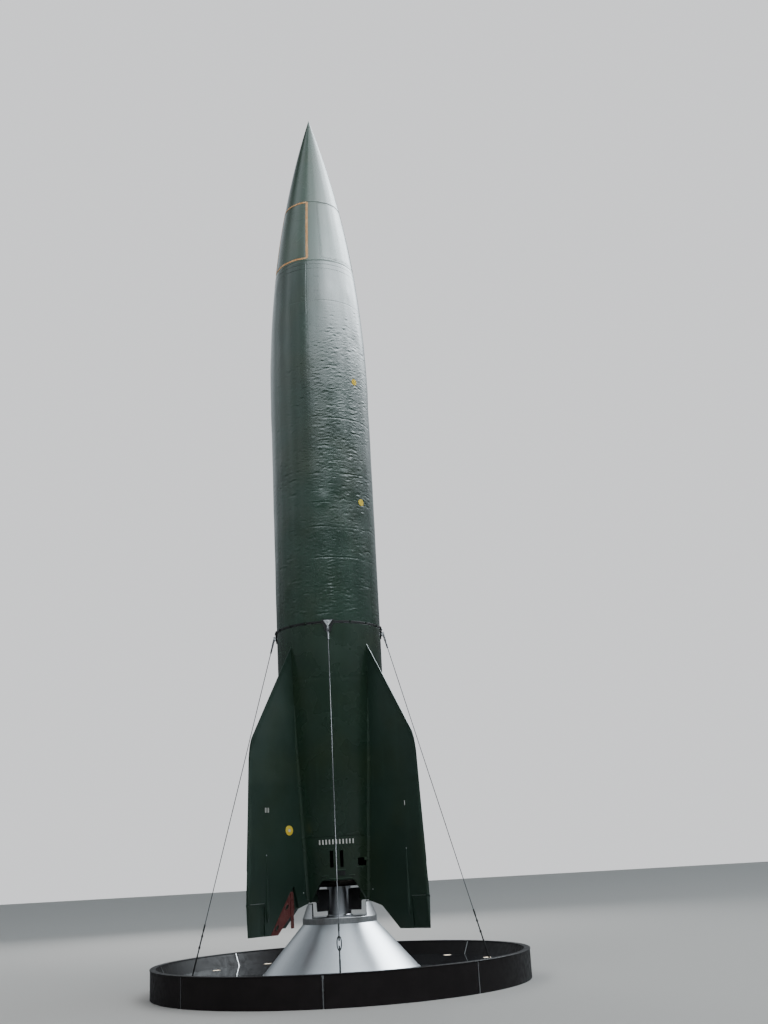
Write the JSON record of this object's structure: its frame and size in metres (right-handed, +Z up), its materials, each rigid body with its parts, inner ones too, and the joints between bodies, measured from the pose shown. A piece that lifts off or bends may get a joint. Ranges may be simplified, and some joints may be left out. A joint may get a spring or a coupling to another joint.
{
  "type": "finned liquid-fuel rocket on a round display plinth",
  "caption": "Tall green ogive-nosed rocket with swept fins, air rudders and jet vanes, standing on a brushed cone inside a round dark plinth, held upright by wire stays.",
  "frame": {"origin": "centre of the plinth's underside, on the floor", "axes": "+Z up along the rocket, -Y towards the front, the fins on the diagonals"},
  "size_m": [5.559, 5.559, 14.826],
  "materials": {
    "green_paint": "semi-gloss dark green paint, dented and worn",
    "red_primer": "matt red-oxide primer",
    "black_band": "satin black",
    "graphite": "dull graphite",
    "engine_steel": "heat-dulled steel",
    "stay_steel": "galvanised steel",
    "brushed_cone": "fine brushed",
    "light_trim": "satin",
    "charcoal_panel": "satin charcoal",
    "gloss_floor": "polished dark sheet",
    "lamp_glass": "frosted lens",
    "marking_white": "flat white marking",
    "marking_yellow": "flat yellow marking",
    "door_seal": "aged tan sealing strip",
    "dark_recess": "unlit dark interior"
  },
  "bodies": {
    "rocket_on_stand": {"nose_tip": "green_paint", "nose_cone": "green_paint", "instrument_bay": "green_paint", "bay_door_1": "green_paint", "bay_door_2": "green_paint", "bay_door_3": "green_paint", "bay_door_4": "green_paint", "tank_shell_left": "green_paint", "tank_shell_right": "green_paint", "tail_section": "green_paint", "tail_skirt": "green_paint", "fin_1": "green_paint", "fin_2": "green_paint", "fin_3": "green_paint", "fin_4": "green_paint", "drive_fairing_1": "green_paint", "drive_fairing_2": "green_paint", "drive_fairing_3": "green_paint", "drive_fairing_4": "green_paint", "fin_4_rib": "red_primer", "joint_belt": "black_band", "engine": "engine_steel", "plinth_base": "charcoal_panel", "deck": "gloss_floor", "rim_trim": "light_trim", "stand_collar": "light_trim", "stand_cone": "brushed_cone", "stand_post": "brushed_cone", "stay_1": "stay_steel", "stay_2": "stay_steel", "stay_3": "stay_steel", "stay_4": "stay_steel", "stay_plate_1": "stay_steel", "stay_plate_2": "stay_steel", "stay_plate_3": "stay_steel", "stay_plate_4": "stay_steel", "rim_panel_1": "charcoal_panel", "rim_panel_2": "charcoal_panel", "rim_panel_3": "charcoal_panel", "rim_panel_4": "charcoal_panel", "rim_panel_5": "charcoal_panel", "rim_panel_6": "charcoal_panel", "rim_panel_7": "charcoal_panel", "rim_panel_8": "charcoal_panel"},
    "rudder_1": {"air_rudder_1": "green_paint"},
    "rudder_2": {"air_rudder_2": "green_paint"},
    "rudder_3": {"air_rudder_3": "green_paint"},
    "rudder_4": {"air_rudder_4": "green_paint"},
    "vane_1": {"jet_vane_1": "graphite"},
    "vane_2": {"jet_vane_2": "graphite"},
    "vane_3": {"jet_vane_3": "graphite"},
    "vane_4": {"jet_vane_4": "graphite"}
  },
  "joints": [
    {"name": "rudder_1_turn", "type": "hinge", "parent": "rocket_on_stand", "child": "rudder_1", "pos_m": [1.06278, -1.06278, 1.185], "axis": [0.7071, -0.7071, 0], "range_deg": [-25, 25]},
    {"name": "rudder_2_turn", "type": "hinge", "parent": "rocket_on_stand", "child": "rudder_2", "pos_m": [1.06278, 1.06278, 1.185], "axis": [0.7071, 0.7071, 0], "range_deg": [-25, 25]},
    {"name": "rudder_3_turn", "type": "hinge", "parent": "rocket_on_stand", "child": "rudder_3", "pos_m": [-1.06278, 1.06278, 1.185], "axis": [-0.7071, 0.7071, 0], "range_deg": [-25, 25]},
    {"name": "rudder_4_turn", "type": "hinge", "parent": "rocket_on_stand", "child": "rudder_4", "pos_m": [-1.06278, -1.06278, 1.185], "axis": [-0.7071, -0.7071, 0], "range_deg": [-25, 25]},
    {"name": "vane_1_turn", "type": "hinge", "parent": "rocket_on_stand", "child": "vane_1", "pos_m": [0.33234, -0.33234, 1.22], "axis": [0.7071, -0.7071, 0], "range_deg": [-25, 25]},
    {"name": "vane_2_turn", "type": "hinge", "parent": "rocket_on_stand", "child": "vane_2", "pos_m": [0.33234, 0.33234, 1.22], "axis": [0.7071, 0.7071, 0], "range_deg": [-25, 25]},
    {"name": "vane_3_turn", "type": "hinge", "parent": "rocket_on_stand", "child": "vane_3", "pos_m": [-0.33234, 0.33234, 1.22], "axis": [-0.7071, 0.7071, 0], "range_deg": [-25, 25]},
    {"name": "vane_4_turn", "type": "hinge", "parent": "rocket_on_stand", "child": "vane_4", "pos_m": [-0.33234, -0.33234, 1.22], "axis": [-0.7071, -0.7071, 0], "range_deg": [-25, 25]}
  ]
}
